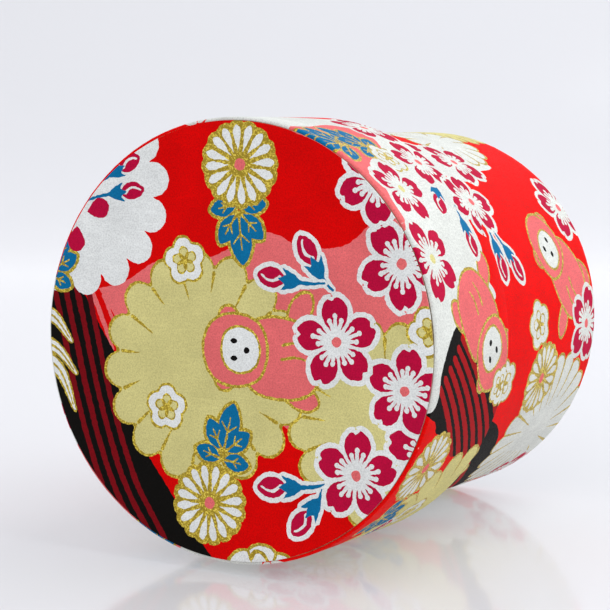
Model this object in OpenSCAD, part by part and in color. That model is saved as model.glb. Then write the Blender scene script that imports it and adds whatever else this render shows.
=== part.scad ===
// Round tea caddy: a pasteboard canister covered in patterned washi, with a tinplate liner,
// a pressed inner lid and a cap that slides over the body. Millimetres, +Z up,
// origin on the axis where the base stands.

/* [Body] */
// Outer diameter of the pasteboard tube
body_d = 74; // [60:1:110]
// Height of the pasteboard tube
tube_h = 77.5; // [60:0.5:150]
// Wall of the body's tube
body_wall = 1.8; // [1.2:0.1:3]
// Thickness of the board that closes the base
base_board_t = 2.0; // [1:0.1:4]

/* [Lid] */
// Height of the lid's side, from its open edge to its top
lid_h = 31; // [24:0.5:45]
// Wall of the lid's tube
lid_wall = 2.1; // [1.2:0.1:3.5]
// Thickness of the board under the lid's top
top_board_t = 2.0; // [1:0.1:4]
// Radial clearance between the lid's lining and the body's paper
lid_gap = 0.3; // [0.2:0.05:0.8]

/* [Paper] */
// Thickness of the washi and of the lining paper
paper_t = 0.2; // [0.1:0.05:0.35]
// Width of the margin that is turned over an edge
turn_in = 6; // [4:0.5:9]
// Distance that an end disc stays inside the covered edge
disc_inset = 0.6; // [0.4:0.1:1.5]
// Radius pressed onto the boards' outer edges
edge_r = 0.4; // [0.2:0.05:0.8]

/* [Tin] */
// Thickness of the tinplate
tin_t = 0.3; // [0.2:0.05:0.5]
// Width of the liner's lip, measured from the liner's bore
lip_w = 1.9; // [1.2:0.1:2.2]
// Height of the upturned edge of the liner's floor
floor_edge_h = 4; // [2:0.5:8]

/* [Inner lid] */
// Depth of the dish below its rim
dish_depth = 8; // [7:0.5:14]
// Radial clearance between the dish and the liner
dish_gap = 0.3; // [0.2:0.05:0.6]
// Diameter of the curled bead on the rim
curl_d = 1.0; // [0.8:0.1:1.4]
// Outer radius of the bend at the foot of the dish
dish_bend = 1.5; // [0.8:0.1:3]

/* [Knob] */
// Diameter of the knob's head
knob_d = 14; // [10:0.5:20]
// Height of the knob
knob_h = 6.2; // [5:0.2:6.4]
// Diameter of the knob's neck
neck_d = 6; // [5:0.5:8]
// Diameter of the rivet's shank
rivet_d = 2.4; // [2:0.2:3]
// Diameter of the washer under the dish
washer_d = 9; // [7:0.5:12]

/* [Hidden] */
$fn = 180;

cover_r = edge_r + paper_t;     // radius of a covered edge
rim_inset = 0.2;                // how far the inner lid's rim stays inside the liner's lip
disc_ramp = 3 * paper_t;        // width over which an end disc dips off the turned margin
cut = 1;                        // how far a cutting shape runs past the face it cuts
weld = 0.01;                    // how far two outlines of one piece run into each other

// Radii, from the inside out
tube_r = body_d / 2;
liner_r = tube_r - body_wall;               // outside of the liner, bore of the board tube
bore_r = liner_r - tin_t;                   // bore of the liner
dish_r = bore_r - dish_gap;                 // outside of the inner lid's dish
body_r = tube_r + paper_t;                  // outside of the covered body
lid_bore_r = body_r + lid_gap;              // bore of the lined lid
lid_in_r = lid_bore_r + paper_t;            // bore of the lid's board tube
lid_tube_r = lid_in_r + lid_wall;
lid_r = lid_tube_r + paper_t;               // outside of the covered lid
rim_r = bore_r + lip_w - rim_inset;         // outside of the inner lid's curled rim
margin_r = tube_r - turn_in;                // inner edge of the body's turned margin
lid_margin_r = lid_tube_r - turn_in;        // inner edge of the lid's turned margin

// Heights, from the base up
tube_z = 2 * paper_t;                       // the base disc and the turned margin are under it
board_z = tube_z + base_board_t;            // top of the base board
tube_top = tube_z + tube_h;
lip_z = tube_top + paper_t;                 // underside of the liner's lip
mouth_z = lip_z + tin_t;                    // top of the liner's lip
rim_z = mouth_z + curl_d;                   // top of the inner lid's rim, where the lid rests
dish_z = rim_z - dish_depth;                // top of the dish's floor
lid_board_z = rim_z + paper_t;              // underside of the lid's board
lid_tube_top = lid_board_z + top_board_t;
top_z = lid_tube_top + 2 * paper_t;         // top of the caddy
lid_z = top_z - lid_h;                      // open edge of the lid

knob_edge = 1.0;                            // radius of the knob's round edge
knob_dome = 0.8;                            // rise of the knob's domed top
knob_foot = 0.8;                            // thickness of the knob's foot
knob_foot_w = 1.2;                          // how far the foot stands out from the neck
rivet_depth = 3;                            // depth of the rivet in the knob
washer_t = 0.5;
rivet_head_h = 1.0;

// A rectangle from (r0, z0) to (r1, z1), its outer corners rounded at the bottom and the top
module block(r0, z0, r1, z1, bottom = 0, top = 0) {
    translate([r0, z0 + bottom]) square([r1 - r0, z1 - z0 - bottom - top]);
    if (bottom > 0) {
        translate([r0, z0]) square([r1 - r0 - bottom, bottom]);
        translate([r1 - bottom, z0 + bottom]) circle(bottom, $fn = 48);
    }
    if (top > 0) {
        translate([r0, z1 - top]) square([r1 - r0 - top, top]);
        translate([r1 - top, z1 - top]) circle(top, $fn = 48);
    }
}

// A quarter of a ring about (r, z), in the quadrant that sr and sz point to
module bend(r, z, r_in, r_out, sr, sz) {
    translate([r, z]) intersection() {
        difference() {
            circle(r_out, $fn = 48);
            if (r_in > 0) circle(r_in, $fn = 48);
        }
        scale([sr, sz]) square(r_out);
    }
}

// An end disc of paper: it lies flat on the turned margin and dips onto the board inside it
module end_disc(r, r_margin) {
    polygon([[0, 0], [r_margin - disc_ramp, 0], [r_margin, paper_t], [r, paper_t],
             [r, 2 * paper_t], [r_margin - disc_ramp / 3, 2 * paper_t],
             [r_margin - disc_ramp * 4 / 3, paper_t], [0, paper_t]]);
}

module body_tube() {
    color("#c2a878") rotate_extrude()
        block(liner_r, tube_z, tube_r, tube_top, edge_r, edge_r);
}

module body_base_board() {
    color("#b89c6c") translate([0, 0, tube_z]) cylinder(h = base_board_t, r = liner_r);
}

module body_base_paper() {
    color("#2a2320") translate([0, 0, 2 * paper_t]) mirror([0, 0, 1]) rotate_extrude()
        end_disc(body_r - disc_inset, margin_r);
}

module body_wrap_paper() {
    color("#c8102a") rotate_extrude() {
        difference() {
            block(liner_r, paper_t, body_r, lip_z, cover_r, cover_r);
            block(liner_r - cut, tube_z, tube_r, tube_top, edge_r, edge_r);
        }
        translate([margin_r, paper_t]) square([liner_r - margin_r + weld, paper_t]);
    }
}

module liner_wall() {
    color("#c9ccd0") rotate_extrude() {
        translate([bore_r, board_z]) square([tin_t, lip_z - board_z]);
        bend(liner_r, lip_z, 0, tin_t, -1, 1);
        translate([liner_r, lip_z]) square([lip_w - tin_t * 3 / 2, tin_t]);
        translate([bore_r + lip_w - tin_t / 2, lip_z + tin_t / 2]) circle(tin_t / 2, $fn = 24);
    }
}

module liner_floor() {
    color("#bfc3c8") rotate_extrude() {
        translate([0, board_z]) square([bore_r - tin_t * 4, tin_t]);
        bend(bore_r - tin_t * 4, board_z + tin_t * 4, tin_t * 3, tin_t * 4, 1, -1);
        translate([bore_r - tin_t, board_z + tin_t * 4]) square([tin_t, floor_edge_h - tin_t * 4]);
    }
}

module inner_lid_dish() {
    neck = 2 * tin_t;    // outer radius of the bend at the rim
    color("#d4d6d8") difference() {
        rotate_extrude() {
            translate([0, dish_z - tin_t]) square([dish_r - dish_bend, tin_t]);
            bend(dish_r - dish_bend, dish_z - tin_t + dish_bend, dish_bend - tin_t, dish_bend, 1, -1);
            translate([dish_r - tin_t, dish_z - tin_t + dish_bend])
                square([tin_t, rim_z - neck - dish_z + tin_t - dish_bend]);
            bend(dish_r - tin_t + neck, rim_z - neck, neck - tin_t, neck, -1, 1);
            translate([dish_r - tin_t + neck, rim_z - tin_t])
                square([rim_r - curl_d / 2 - dish_r + tin_t - neck, tin_t]);
            translate([rim_r - curl_d / 2, rim_z - curl_d / 2]) circle(curl_d / 2, $fn = 48);
        }
        translate([0, 0, dish_z - tin_t - cut]) cylinder(h = tin_t + 2 * cut, d = rivet_d, $fn = 48);
    }
}

module inner_lid_knob() {
    head_z = knob_h - knob_dome - 2 * knob_edge;    // underside of the head, above the dish
    dome_r = (pow(knob_d / 2 - knob_edge, 2) + pow(knob_dome, 2)) / (2 * knob_dome);
    color("#b08a3c") translate([0, 0, dish_z]) difference() {
        rotate_extrude() {
            block(0, 0, neck_d / 2 + knob_foot_w, knob_foot, 0, knob_foot / 2);
            square([neck_d / 2, knob_h - knob_dome]);
            translate([0, head_z]) square([knob_d / 2 - knob_edge, 2 * knob_edge]);
            translate([knob_d / 2 - knob_edge, head_z + knob_edge]) circle(knob_edge, $fn = 48);
            intersection() {
                translate([0, knob_h - dome_r]) circle(dome_r, $fn = 360);
                translate([0, knob_h - knob_dome]) square([knob_d / 2, knob_dome]);
            }
        }
        translate([0, 0, -cut]) cylinder(h = rivet_depth + cut, d = rivet_d, $fn = 48);
    }
}

module knob_washer() {
    color("#c4c8cc") translate([0, 0, dish_z - tin_t - washer_t]) difference() {
        cylinder(h = washer_t, d = washer_d, $fn = 72);
        translate([0, 0, -cut]) cylinder(h = washer_t + 2 * cut, d = rivet_d, $fn = 48);
    }
}

module knob_rivet() {
    foot = dish_z - tin_t - washer_t;
    color("#9a9da2") {
        translate([0, 0, foot]) cylinder(h = tin_t + washer_t + rivet_depth, d = rivet_d, $fn = 48);
        translate([0, 0, foot]) mirror([0, 0, 1]) rotate_extrude()
            block(0, 0, rivet_d, rivet_head_h, 0, rivet_head_h / 2);
    }
}

module lid_tube() {
    color("#c2a878") rotate_extrude()
        block(lid_in_r, lid_z + paper_t, lid_tube_r, lid_tube_top, edge_r, edge_r);
}

module lid_top_board() {
    color("#b89c6c") translate([0, 0, lid_board_z]) cylinder(h = top_board_t, r = lid_in_r);
}

module lid_side_lining() {
    color("#efe8d6") translate([0, 0, lid_z + turn_in]) difference() {
        cylinder(h = lid_board_z - lid_z - turn_in, r = lid_in_r);
        translate([0, 0, -cut]) cylinder(h = lid_h, r = lid_bore_r);
    }
}

module lid_top_lining() {
    color("#efe8d6") translate([0, 0, rim_z]) cylinder(h = paper_t, r = lid_bore_r);
}

module lid_wrap_paper() {
    color("#c8102a") rotate_extrude() {
        difference() {
            block(lid_bore_r, lid_z, lid_r, top_z - paper_t, cover_r, cover_r);
            block(lid_in_r, lid_z + paper_t, lid_tube_r, lid_tube_top, edge_r, edge_r);
            translate([lid_bore_r - cut, lid_z + turn_in])
                square([lid_in_r - lid_bore_r + cut, lid_tube_top - lid_z - turn_in]);
        }
        translate([lid_margin_r, lid_tube_top])
            square([lid_bore_r - lid_margin_r + weld, paper_t]);
    }
}

module lid_top_paper() {
    color("#d81a24") translate([0, 0, lid_tube_top]) rotate_extrude()
        end_disc(lid_r - disc_inset, lid_margin_r);
}

body_tube();
body_base_board();
body_base_paper();
body_wrap_paper();
liner_wall();
liner_floor();
inner_lid_dish();
inner_lid_knob();
knob_washer();
knob_rivet();
lid_tube();
lid_top_board();
lid_side_lining();
lid_top_lining();
lid_wrap_paper();
lid_top_paper();
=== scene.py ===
import math
import random

import bmesh
import bpy
import numpy as np
from mathutils import Matrix, Vector
from mathutils.geometry import delaunay_2d_cdt


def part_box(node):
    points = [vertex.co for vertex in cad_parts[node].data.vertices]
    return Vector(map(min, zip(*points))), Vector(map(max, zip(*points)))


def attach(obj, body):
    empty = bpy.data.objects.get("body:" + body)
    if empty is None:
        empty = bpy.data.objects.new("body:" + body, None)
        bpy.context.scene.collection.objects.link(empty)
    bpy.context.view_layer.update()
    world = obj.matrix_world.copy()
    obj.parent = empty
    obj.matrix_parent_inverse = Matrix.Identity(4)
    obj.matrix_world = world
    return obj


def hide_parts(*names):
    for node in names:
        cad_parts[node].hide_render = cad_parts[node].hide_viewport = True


# A round tea caddy covered in gilded washi. The print is drawn as flat shapes in millimetres,
# cut into triangles with one ink each, and folded over the board like the real sheets.

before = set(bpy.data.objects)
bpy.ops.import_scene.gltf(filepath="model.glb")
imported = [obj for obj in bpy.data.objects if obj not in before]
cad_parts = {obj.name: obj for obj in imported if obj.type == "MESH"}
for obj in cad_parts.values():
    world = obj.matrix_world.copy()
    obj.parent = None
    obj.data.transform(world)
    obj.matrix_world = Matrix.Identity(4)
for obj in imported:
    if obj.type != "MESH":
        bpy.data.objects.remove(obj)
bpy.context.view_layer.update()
scene = bpy.context.scene
mm = 0.001
twoPi = 2 * math.pi
print("frame loaded:", len(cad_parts), "nodes")


def topOf(node):
    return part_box(node)[1].z / mm


def footOf(node):
    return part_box(node)[0].z / mm


def radiusOf(node):
    low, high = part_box(node)
    return min(high.x, high.y, -low.x, -low.y) / mm


# camera, floor and light

view = {
    "place": (0.03733, -0.18803, 0.39867),
    "right": (0.0, -0.8772, -0.4801),
    "up": (0.9966, 0.0398, -0.0728),
    "lens": 122.9,
    "sensor": 36.0,
}
camera = bpy.data.objects.new("camera", bpy.data.cameras.new("camera"))
scene.collection.objects.link(camera)
cameraRight = Vector(view["right"]).normalized()
cameraUp = Vector(view["up"])
cameraUp = (cameraUp - cameraUp.dot(cameraRight) * cameraRight).normalized()
cameraTurn = Matrix((cameraRight, cameraUp, cameraRight.cross(cameraUp))).transposed()
camera.matrix_world = Matrix.Translation(view["place"]) @ cameraTurn.to_4x4()
camera.data.lens = view["lens"]
camera.data.sensor_width = view["sensor"]
camera.data.clip_start = 0.01
camera.data.clip_end = 20.0
scene.camera = camera
scene.view_settings.view_transform = "Standard"
scene.view_settings.look = "None"

bodyR = radiusOf("body_wrap_paper")
lidR = radiusOf("lid_wrap_paper")
lidFoot = footOf("lid_wrap_paper")
lidTop = topOf("lid_wrap_paper")

# The caddy lies on its side, on the lid's open edge and the foot of the body.
lying = {"tilt": -0.030, "clearance": 0.0001}
lean = math.atan2(lidR - bodyR, lidFoot)
floorUp = Vector((math.cos(lean), lying["tilt"], math.sin(lean))).normalized()
floorPoint = Vector((-bodyR * mm - lying["clearance"], 0.0, 0.0))


def addNode(tree, kind, inputs=None, **settings):
    node = tree.nodes.new(kind)
    for name, value in settings.items():
        setattr(node, name, value)
    for key, value in (inputs or {}).items():
        if isinstance(value, bpy.types.NodeSocket):
            tree.links.new(value, node.inputs[key])
        else:
            node.inputs[key].default_value = value
    return node


def calc(tree, operation, a, b=None, c=None, clamp=False):
    values = {i: v for i, v in enumerate((a, b, c)) if v is not None}
    return addNode(tree, "ShaderNodeMath", values, operation=operation, use_clamp=clamp).outputs[0]


def ramp(tree, value, low, high, toLow=0.0, toHigh=1.0):
    sockets = {0: value, 1: low, 2: high, 3: toLow, 4: toHigh}
    return addNode(tree, "ShaderNodeMapRange", sockets).outputs[0]


def blendColour(tree, share, a, b, mode="MIX"):
    sockets = {0: share, 6: a, 7: b}
    return addNode(tree, "ShaderNodeMix", sockets, data_type="RGBA", blend_type=mode).outputs[2]


def colour(code):
    # a screen colour such as "c8102a" as the linear colour a shader wants
    parts = [int(code[i:i + 2], 16) / 255 for i in (0, 2, 4)]
    return tuple(p / 12.92 if p < 0.04045 else ((p + 0.055) / 1.055) ** 2.4 for p in parts) + (1.0,)


def newMaterial(name):
    material = bpy.data.materials.new(name)
    material.use_nodes = True
    tree = material.node_tree
    tree.nodes.clear()
    surface = addNode(tree, "ShaderNodeBsdfPrincipled")
    out = addNode(tree, "ShaderNodeOutputMaterial")
    tree.links.new(surface.outputs[0], out.inputs[0])
    return material, tree, surface


# the table's emission colour and strength below are painted light, a glow that brightens its shadows
table = {"size": 6.0, "back": 0.34, "bend": 0.5, "steps": 24, "tint": "c2c2c5", "cloud": "b1b3b9",
         "clouding": 0.12, "paintedGlow": "f3f3f5", "paintedGlowPower": 0.25, "specular": 0.7, "roughness": 0.12}


def makeFloor():
    material, tree, surface = newMaterial("tableTop")
    place = addNode(tree, "ShaderNodeTexCoord").outputs["Object"]
    cloud = addNode(tree, "ShaderNodeTexNoise", {"Vector": place, "Scale": 3.0, "Detail": 2.0})
    tint = blendColour(tree, ramp(tree, cloud.outputs[0], 0.3, 0.7, 0.0, table["clouding"]),
                       colour(table["tint"]), colour(table["cloud"]))
    tree.links.new(tint, surface.inputs["Base Color"])
    surface.inputs["Roughness"].default_value = table["roughness"]
    surface.inputs["Specular IOR Level"].default_value = table["specular"]
    # the table glows a little though it is no lamp: painted light that lifts its shadows and lights the
    # caddy from below
    surface.inputs["Emission Color"].default_value = colour(table["paintedGlow"])
    surface.inputs["Emission Strength"].default_value = table["paintedGlowPower"]
    # the table is seen from above only
    side = addNode(tree, "ShaderNodeNewGeometry")
    clear = addNode(tree, "ShaderNodeBsdfTransparent")
    both = addNode(tree, "ShaderNodeMixShader", {0: side.outputs["Backfacing"],
                                                 1: surface.outputs[0], 2: clear.outputs[0]})
    tree.links.new(both.outputs[0], tree.nodes["Material Output"].inputs[0])
    # the table runs back from the camera and sweeps up into a pale wall
    away = camera.matrix_world.to_3x3() @ Vector((0, 0, -1))
    away = (away - away.dot(floorUp) * floorUp).normalized()
    sideways = floorUp.cross(away)
    bend, rise = table["back"], table["bend"]
    profile = [(-table["size"] / 2, 0.0)]
    for k in range(table["steps"] + 1):
        a = k / table["steps"] * math.pi / 2
        profile.append((bend + rise * math.sin(a), rise * (1 - math.cos(a))))
    profile.append((bend + rise, table["size"] / 2))
    verts, faces = [], []
    for run, height in profile:
        for half in (-0.5, 0.5):
            verts.append(floorPoint + away * run + floorUp * height + sideways * half * table["size"])
    for k in range(len(profile) - 1):
        faces.append((2 * k, 2 * k + 1, 2 * k + 3, 2 * k + 2))
    mesh = bpy.data.meshes.new("tableTop")
    mesh.from_pydata([tuple(v) for v in verts], [], faces)
    mesh.shade_smooth()
    mesh.update()
    if mesh.polygons[0].normal.dot(floorUp) < 0:
        mesh.flip_normals()
    mesh.materials.append(material)
    floor = bpy.data.objects.new("tableTop", mesh)
    scene.collection.objects.link(floor)


lampTarget = Vector((0.0, 0.0, 0.045))
lamps = {
    "skyBox": {"place": (1.0, -0.75, -0.35), "size": 1.5, "power": 14.0, "tint": (0.97, 0.985, 1.0)},
    "frontBox": {"place": (0.6, -0.2, 1.2), "size": 1.0, "power": 3.0, "tint": (1.0, 1.0, 1.0)},
}


def softBox(name, lamp):
    data = bpy.data.lights.new(name, "AREA")
    data.shape = "SQUARE"
    data.size = lamp["size"]
    data.energy = lamp["power"]
    data.color = lamp["tint"]
    box = bpy.data.objects.new(name, data)
    scene.collection.objects.link(box)
    box.location = lamp["place"]
    aim = lampTarget - box.location
    box.rotation_mode = "QUATERNION"
    box.rotation_quaternion = aim.to_track_quat("-Z", "Y")


makeFloor()
for name, lamp in lamps.items():
    softBox(name, lamp)

world = bpy.data.worlds.new("studio")
scene.world = world
world.use_nodes = True
sky = world.node_tree
skyLook = {"light": "eceef4", "strength": 0.78, "seen": "eceff4"}
back = sky.nodes["Background"]
back.inputs[0].default_value = colour(skyLook["light"])
back.inputs[1].default_value = skyLook["strength"]
backdrop = addNode(sky, "ShaderNodeBackground", {0: colour(skyLook["seen"]), 1: 1.0})
seen = addNode(sky, "ShaderNodeLightPath").outputs["Is Camera Ray"]
studio = addNode(sky, "ShaderNodeMixShader", {0: seen, 1: back.outputs[0], 2: backdrop.outputs[0]})
sky.links.new(studio.outputs[0], sky.nodes["World Output"].inputs[0])
print("camera, table and light ready")


def newGroup(name, inputs, outputs):
    tree = bpy.data.node_groups.new(name, "ShaderNodeTree")
    for label, kind, value in inputs:
        socket = tree.interface.new_socket(name=label, in_out="INPUT", socket_type=kind)
        if value is not None:
            socket.default_value = value
    for label, kind in outputs:
        tree.interface.new_socket(name=label, in_out="OUTPUT", socket_type=kind)
    return tree, addNode(tree, "NodeGroupInput").outputs, addNode(tree, "NodeGroupOutput").inputs


number = "NodeSocketFloat"


def noise(tree, vector, scale, detail=2.0, roughness=0.5, distortion=0.0):
    sockets = {"Vector": vector, "Scale": scale, "Detail": detail,
               "Roughness": roughness, "Distortion": distortion}
    return addNode(tree, "ShaderNodeTexNoise", sockets).outputs[0]


def stretched(tree, vector, scale, turn=(0.0, 0.0, 0.0)):
    return addNode(tree, "ShaderNodeMapping", {0: vector, 2: turn, 3: scale}).outputs[0]


# long mulberry fibres, a fine tooth and slow patches
def makePaperGrain():
    tree, given, out = newGroup(
        "paperGrain",
        [("Tooth", number, 3200.0), ("Fibres", number, 900.0), ("Patches", number, 120.0)],
        [("Height", number), ("Tone", number), ("Fibre", number)])
    place = addNode(tree, "ShaderNodeTexCoord").outputs["Object"]
    tooth = noise(tree, place, given["Tooth"], 3.0, 0.6)
    threads = []
    for turn in ((0.3, 0.2, 0.5), (1.2, 0.9, -0.7), (-0.8, 1.7, 1.3)):
        long = stretched(tree, place, (1.0, 0.16, 0.16), turn)
        line = noise(tree, long, given["Fibres"], 1.0, 0.4, 0.6)
        near = calc(tree, "ABSOLUTE", calc(tree, "SUBTRACT", line, 0.5))
        threads.append(ramp(tree, near, 0.0, 0.012, 1.0, 0.0))
    fibre = calc(tree, "MAXIMUM", calc(tree, "MAXIMUM", threads[0], threads[1]), threads[2])
    tree.links.new(calc(tree, "ADD", calc(tree, "MULTIPLY", tooth, 0.9),
                        calc(tree, "MULTIPLY", fibre, 0.1)), out["Height"])
    tree.links.new(noise(tree, place, given["Patches"], 2.0, 0.55), out["Tone"])
    tree.links.new(fibre, out["Fibre"])
    return tree


# bronze powder in the gilt lines: flakes of uneven tone, the shiniest painted brighter as glints one by one
def makeGiltGrain():
    tree, given, out = newGroup(
        "giltGrain", [("Flakes", number, 4200.0), ("Wear", number, 0.5)],
        [("Height", number), ("Shine", number), ("Bare", number)])
    place = addNode(tree, "ShaderNodeTexCoord").outputs["Object"]
    cells = addNode(tree, "ShaderNodeTexVoronoi", {"Vector": place, "Scale": given["Flakes"]})
    flake = addNode(tree, "ShaderNodeSeparateColor", {0: cells.outputs["Color"]})
    tree.links.new(flake.outputs[0], out["Height"])
    tree.links.new(flake.outputs[1], out["Shine"])
    thin = noise(tree, place, calc(tree, "MULTIPLY", given["Flakes"], 0.45), 2.0, 0.7)
    tree.links.new(calc(tree, "MULTIPLY", ramp(tree, thin, 0.55, 0.75), given["Wear"]), out["Bare"])
    return tree


# where a folded edge has rubbed and the paper's own white shows
def makeEdgeScuff():
    tree, given, out = newGroup(
        "edgeScuff", [("Edge", number, 0.0), ("Amount", number, 0.5), ("Size", number, 700.0)],
        [("Mask", number)])
    place = addNode(tree, "ShaderNodeTexCoord").outputs["Object"]
    rub = noise(tree, place, given["Size"], 4.0, 0.7)
    need = calc(tree, "SUBTRACT", 1.0, calc(tree, "MULTIPLY", given["Edge"], given["Amount"]))
    tree.links.new(ramp(tree, calc(tree, "SUBTRACT", rub, calc(tree, "MULTIPLY", need, 0.75)),
                        0.0, 0.12), out["Mask"])
    return tree


# rings left by spinning or rolling, round the caddy's axis, with a few fine scratches
def makeSpunGrain():
    tree, given, out = newGroup(
        "spunGrain", [("Rings", number, 2600.0), ("Scratches", number, 260.0), ("Clouds", number, 90.0)],
        [("Height", number), ("Tone", number), ("Scratch", number)])
    place = addNode(tree, "ShaderNodeTexCoord").outputs["Object"]
    axes = addNode(tree, "ShaderNodeSeparateXYZ", {0: place})
    squares = calc(tree, "ADD", calc(tree, "MULTIPLY", axes.outputs[0], axes.outputs[0]),
                   calc(tree, "MULTIPLY", axes.outputs[1], axes.outputs[1]))
    angle = calc(tree, "ARCTAN2", axes.outputs[1], axes.outputs[0])
    spun = addNode(tree, "ShaderNodeCombineXYZ", {0: calc(tree, "SQRT", squares), 1: axes.outputs[2],
                                                 2: calc(tree, "MULTIPLY", angle, 0.0006)}).outputs[0]
    tree.links.new(noise(tree, spun, given["Rings"], 3.0, 0.65), out["Height"])
    tree.links.new(noise(tree, place, given["Clouds"], 3.0, 0.6, 0.4), out["Tone"])
    thin = noise(tree, stretched(tree, place, (1.0, 0.07, 0.07), (0.4, 0.3, 0.9)),
                 given["Scratches"], 2.0, 0.5, 0.2)
    near = calc(tree, "ABSOLUTE", calc(tree, "SUBTRACT", thin, 0.5))
    tree.links.new(ramp(tree, near, 0.0, 0.006, 1.0, 0.0), out["Scratch"])
    return tree


paperGrain = makePaperGrain()
giltGrain = makeGiltGrain()
edgeScuff = makeEdgeScuff()
spunGrain = makeSpunGrain()


def useGroup(tree, group, **inputs):
    return addNode(tree, "ShaderNodeGroup", inputs, node_tree=group)


# the printed sheets' inks and surface

# the last three inks are painted light: the disc's red, white and stripe red made brighter or duller for
# how light falls on the side
inks = {
    "red": "dc0000", "coral": "ea6f70", "olive": "d8cf8a", "blue": "0a6fa0", "magenta": "bd0a3c",
    "white": "e9ebe8", "black": "0f0d0b", "darkRed": "7c0a14", "gilt": "a8872a", "paper": "efeae0",
    "sideRed": "ea0200", "sideWhite": "dcded7", "bandRed": "a81016",
}
washiLook = {
    "disc": {"tooth": 3400.0, "fibres": 800.0, "patches": 140.0, "flakes": 4600.0, "scuff": 0.05,
             "bump": 0.22},
    "wrap": {"tooth": 3100.0, "fibres": 760.0, "patches": 140.0, "flakes": 4200.0, "scuff": 0.12,
             "bump": 0.26},
}
washiSurface = {"rub": 650.0, "specular": 0.05, "depth": 0.00012}
giltLook = {"deep": "a98f2e", "paintedGlint": "ffe560", "bare": "93853a", "metal": 0.6, "wear": 0.7}


def makeWashi(name, look):
    material, tree, surface = newMaterial(name)
    ink = addNode(tree, "ShaderNodeAttribute", attribute_name="ink").outputs["Color"]
    gilt = addNode(tree, "ShaderNodeAttribute", attribute_name="gilt").outputs["Fac"]
    edge = addNode(tree, "ShaderNodeAttribute", attribute_name="edge").outputs["Fac"]
    grain = useGroup(tree, paperGrain, Tooth=look["tooth"], Fibres=look["fibres"],
                     Patches=look["patches"]).outputs
    powder = useGroup(tree, giltGrain, Flakes=look["flakes"], Wear=giltLook["wear"]).outputs
    scuff = useGroup(tree, edgeScuff, Edge=edge, Amount=look["scuff"],
                     Size=washiSurface["rub"]).outputs["Mask"]
    # the ink sinks in unevenly: paler on the tooth and along fibres
    tooth = ramp(tree, grain["Height"], 0.3, 0.56, 0.84, 1.1)
    patch = ramp(tree, grain["Tone"], 0.3, 0.7, 1.05, 0.93)
    mottled = blendColour(tree, 1.0, ink, calc(tree, "MULTIPLY", tooth, patch), "MULTIPLY")
    pale = ramp(tree, grain["Fibre"], 0.0, 1.0, 1.0, 1.025)
    threads = blendColour(tree, 1.0, mottled, pale, "MULTIPLY")
    # painted glint: the shinier flakes get a brighter gold in the base colour
    shine = ramp(tree, powder["Shine"], 0.55, 0.95)
    paintedGlint = blendColour(tree, shine, colour(giltLook["deep"]), colour(giltLook["paintedGlint"]))
    metal = blendColour(tree, powder["Bare"], paintedGlint, colour(giltLook["bare"]))
    printed = blendColour(tree, gilt, threads, metal)
    worn = blendColour(tree, scuff, printed, colour(inks["paper"]))
    tree.links.new(worn, surface.inputs["Base Color"])
    bare = calc(tree, "SUBTRACT", 1.0, calc(tree, "MULTIPLY", powder["Bare"], 0.8))
    unworn = calc(tree, "SUBTRACT", 1.0, scuff)
    leafed = calc(tree, "MULTIPLY", calc(tree, "MULTIPLY", gilt, bare), unworn)
    tree.links.new(calc(tree, "MULTIPLY", leafed, giltLook["metal"]), surface.inputs["Metallic"])
    matt = ramp(tree, grain["Height"], 0.3, 0.7, 0.52, 0.72)
    shiny = ramp(tree, powder["Shine"], 0.0, 1.0, 0.5, 0.24)
    rough = addNode(tree, "ShaderNodeMix", {0: leafed, 2: matt, 3: shiny}).outputs[0]
    tree.links.new(rough, surface.inputs["Roughness"])
    relief = addNode(tree, "ShaderNodeMix", {0: gilt, 2: grain["Height"], 3: powder["Height"]}).outputs[0]
    bump = addNode(tree, "ShaderNodeBump", {"Strength": look["bump"], "Distance": washiSurface["depth"],
                                            "Height": relief})
    tree.links.new(bump.outputs[0], surface.inputs["Normal"])
    surface.inputs["Specular IOR Level"].default_value = washiSurface["specular"]
    return material


washiDisc = makeWashi("washiDisc", washiLook["disc"])
washiWrap = makeWashi("washiWrap", washiLook["wrap"])

# A printed shape is a closed loop of complex numbers in millimetres, and a motif a list of (ink, shape).

draw = random.Random(11)


def resample(loop, step):
    ends = np.append(loop, loop[0])
    run = np.concatenate(([0], np.cumsum(np.abs(np.diff(ends)))))
    count = max(6, int(run[-1] / step))
    at = np.arange(count) * run[-1] / count
    return np.interp(at, run, ends.real) + 1j * np.interp(at, run, ends.imag)


def area(loop):
    return 0.5 * np.sum(loop.real * np.roll(loop.imag, -1) - np.roll(loop.real, -1) * loop.imag)


def outward(loop):
    along = np.roll(loop, -1) - np.roll(loop, 1)
    along = along / np.maximum(np.abs(along), 1e-9)
    return along * (-1j if area(loop) > 0 else 1j)


def grown(loop, by):
    return loop + outward(loop) * by


def bend(a, b, c, d, count):
    # points from b up to c on a smooth line through all four
    t = np.arange(count) / count
    return b + 0.5 * ((c - a) * t + (2 * a - 5 * b + 4 * c - d) * t**2 + (3 * b - a - 3 * c + d) * t**3)


def smooth(points, step=0.5):
    p = np.asarray(points, complex)
    pieces = []
    for i in range(len(p)):
        a, b, c, d = p[i - 1], p[i], p[(i + 1) % len(p)], p[(i + 2) % len(p)]
        pieces.append(bend(a, b, c, d, max(2, int(abs(c - b) / step))))
    return np.concatenate(pieces)


def xy(*pairs):
    return np.array([complex(x, y) for x, y in pairs])


def roundDot(radius, x=0.0, y=0.0):
    count = max(8, int(radius * twoPi / 0.4))
    return complex(x, y) + radius * np.exp(1j * np.arange(count) * twoPi / count)


def lobed(radius, count, dip, turn=0.0, sides=11, power=0.5):
    a = np.arange(count * sides) * twoPi / (count * sides)
    swell = np.abs(np.cos(count * (a - turn) / 2)) ** power
    return radius * (1 - dip + dip * swell) * np.exp(1j * a)


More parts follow.
